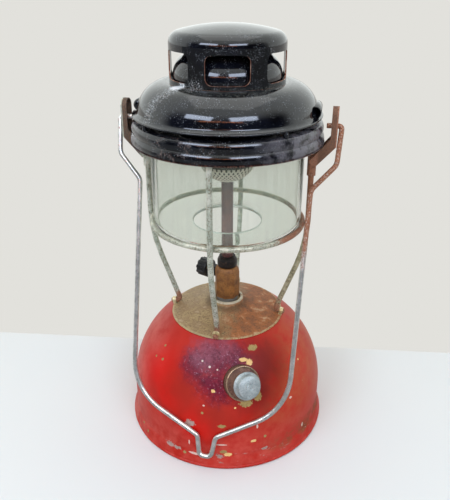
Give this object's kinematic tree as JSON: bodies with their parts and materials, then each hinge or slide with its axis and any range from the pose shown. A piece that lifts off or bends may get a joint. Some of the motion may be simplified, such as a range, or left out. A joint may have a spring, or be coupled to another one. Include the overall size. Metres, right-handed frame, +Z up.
{
  "type": "kerosene_pressure_lantern",
  "caption": "Kerosene pressure lantern: domed red fuel tank with pump, wire cage round a clear glass, vented black hood with chimney, and a long wire bail",
  "frame": {"origin": "centre of the foot on the ground plane, on the lantern's axis", "axes": "+Z up, +X towards the right ear, -Y towards the front leg where the bail hangs"},
  "size_m": [0.159, 0.1649, 0.3061],
  "materials": {
    "red_enamel": "gloss",
    "black_enamel": "gloss",
    "brass": "satin",
    "scorched_brass": "matte",
    "heat_stained_steel": "satin",
    "plated_wire": "satin",
    "dark_steel": "matte",
    "cast_burner": "matte",
    "ceramic_nozzle": "matte",
    "clear_glass": "clear",
    "dark_gasket": "matte",
    "rubber_pip": "matte",
    "leather_cup": "matte",
    "black_plastic": "satin",
    "steel_needle": "satin",
    "pale_aluminium": "satin"
  },
  "bodies": {
    "frame": {"tank_shell": "red_enamel", "tank_bottom": "red_enamel", "tank_boss": "brass", "pickup_tube": "brass", "heat_plate": "heat_stained_steel", "boss_washer": "dark_gasket", "control_body": "brass", "gland_nut": "dark_steel", "vaporiser_nut": "dark_steel", "vaporiser_tube": "scorched_brass", "jet_nipple": "brass", "burner_body": "cast_burner", "nozzle_cap": "ceramic_nozzle", "glass_globe": "clear_glass", "support_ring": "plated_wire", "leg_front": "plated_wire", "leg_back": "plated_wire", "leg_left": "plated_wire", "leg_right": "plated_wire", "ear_left": "plated_wire", "ear_right": "plated_wire", "pump_seat": "brass", "pump_barrel": "brass", "pump_washer": "dark_gasket", "pump_cap": "brass", "pump_valve": "brass"},
    "hood": {"hood_dome": "black_enamel", "hood_skirt": "black_enamel", "hood_spacers": "black_enamel", "inner_flue": "black_enamel", "chimney_cap": "black_enamel"},
    "bail": {"bail": "plated_wire"},
    "plunger": {"pump_rod": "plated_wire", "pump_knob": "pale_aluminium", "piston_cup": "leather_cup", "piston_nut": "brass"},
    "control": {"control_wheel": "black_plastic", "control_spindle": "brass"},
    "pricker": {"pricker_rod": "steel_needle"},
    "valve": {"valve_pip": "rubber_pip"}
  },
  "joints": [
    {"name": "bail_swing", "type": "hinge", "parent": "frame", "child": "bail", "pos_m": [0, 0, 0.24297], "axis": [-1, 0, 0], "range_deg": [0, 319]},
    {"name": "hood_lift", "type": "slide", "parent": "frame", "child": "hood", "axis": [0, 0, 1], "range_m": [0, 0.09]},
    {"name": "pump_stroke", "type": "slide", "parent": "frame", "child": "plunger", "axis": [0.426, -0.778, 0.4617], "range_m": [0, 0.046]},
    {"name": "control_turn", "type": "hinge", "parent": "frame", "child": "control", "pos_m": [0, 0, 0.12357], "axis": [-0.9135, 0.4067, 0], "range_deg": [0, 180]},
    {"name": "pricker_lift", "type": "slide", "parent": "frame", "child": "pricker", "axis": [0, 0, 1], "range_m": [0, 0.0025]},
    {"name": "valve_lift", "type": "slide", "parent": "frame", "child": "valve", "axis": [-0.426, 0.778, -0.4617], "range_m": [0, 0.002], "stiffness_N_per_m": 60, "springref_m": -0.001}
  ],
  "couplings": [
    {"joint": "control_turn", "follows": "pricker_lift", "rad_per_m": 1256.6}
  ]
}
